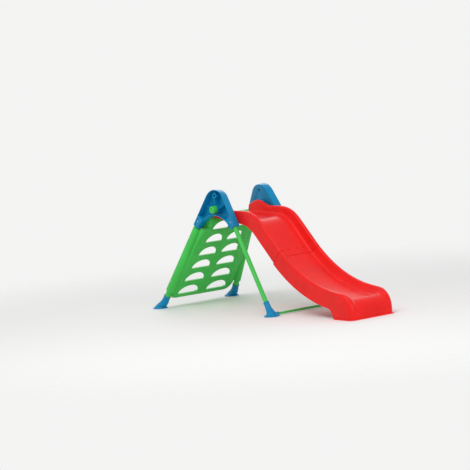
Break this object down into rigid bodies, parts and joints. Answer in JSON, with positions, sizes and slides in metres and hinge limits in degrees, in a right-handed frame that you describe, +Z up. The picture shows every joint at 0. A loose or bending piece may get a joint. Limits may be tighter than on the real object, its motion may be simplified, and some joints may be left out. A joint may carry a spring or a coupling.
{
  "type": "climber slide",
  "caption": "Children's climber slide: a tilted climbing panel with hand and foot holes on a tube A-frame, arched top brackets and a moulded two-piece chute.",
  "frame": {"origin": "on the ground, below the middle of the slide's bounding box", "axes": "+X lengthwise towards the chute's exit, +Y to the left of a child that slides down, +Z up"},
  "size_m": [2.238, 0.826, 0.9374],
  "materials": {
    "red": "glossy moulded red plastic",
    "green": "satin moulded green plastic",
    "blue": "glossy moulded blue plastic",
    "fastener": "zinc plated steel"
  },
  "bodies": {
    "frame": {"bracket_left": "blue", "bracket_right": "blue", "bracket_screw_front_left": "fastener", "bracket_screw_front_right": "fastener", "bracket_screw_rear_left": "fastener", "bracket_screw_rear_right": "fastener", "climbing_panel": "green", "front_foot_left": "blue", "front_foot_right": "blue", "front_leg_left": "green", "front_leg_right": "green", "ground_bar": "green", "panel_screw_1_left": "fastener", "panel_screw_1_right": "fastener", "panel_screw_2_left": "fastener", "panel_screw_2_right": "fastener", "pivot_knob_left": "green", "pivot_knob_right": "green", "rear_foot_left": "blue", "rear_foot_right": "blue", "rear_leg_left": "green", "rear_leg_right": "green"},
    "chute": {"chute_lower": "red", "chute_upper": "red", "pivot_nut_left": "green", "pivot_nut_right": "green", "section_bolt_1": "fastener", "section_bolt_2": "fastener", "section_bolt_3": "fastener", "section_bolt_4": "fastener", "section_nut_1": "fastener", "section_nut_2": "fastener", "section_nut_3": "fastener", "section_nut_4": "fastener"}
  },
  "joints": [
    {"name": "chute_lift", "type": "hinge", "parent": "frame", "child": "chute", "pos_m": [-0.369, 0, 0.785], "axis": [0, -1, 0], "range_deg": [0, 25]}
  ]
}
